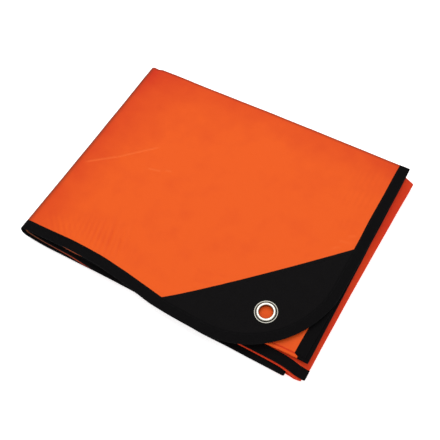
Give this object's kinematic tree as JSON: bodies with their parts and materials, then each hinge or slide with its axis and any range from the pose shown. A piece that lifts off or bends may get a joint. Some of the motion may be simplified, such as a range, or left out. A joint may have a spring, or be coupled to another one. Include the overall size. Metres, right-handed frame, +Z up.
{
  "type": "folded emergency blanket",
  "caption": "Emergency blanket of orange coated cloth, bound in black tape, with a black corner patch and a metal eyelet, folded flat into a packet.",
  "frame": {"origin": "middle of the folded packet's footprint, on the surface it rests on", "axes": "+X along the long side towards the free ends of the top panel, +Y across from the near side with the two bound edges to the far folds, +Z up"},
  "size_m": [0.2606, 0.199, 0.0177],
  "materials": {
    "orange_coated_cloth": "satin coated cloth",
    "black_tape": "matt ribbed binding tape",
    "black_weave": "matt plain weave",
    "nickel": "polished nickel plate"
  },
  "bodies": {
    "root": {"blanket_cloth": "orange_coated_cloth", "edge_tape": "black_tape", "corner_patch": "black_weave", "corner_eyelet": "nickel"}
  },
  "joints": []
}
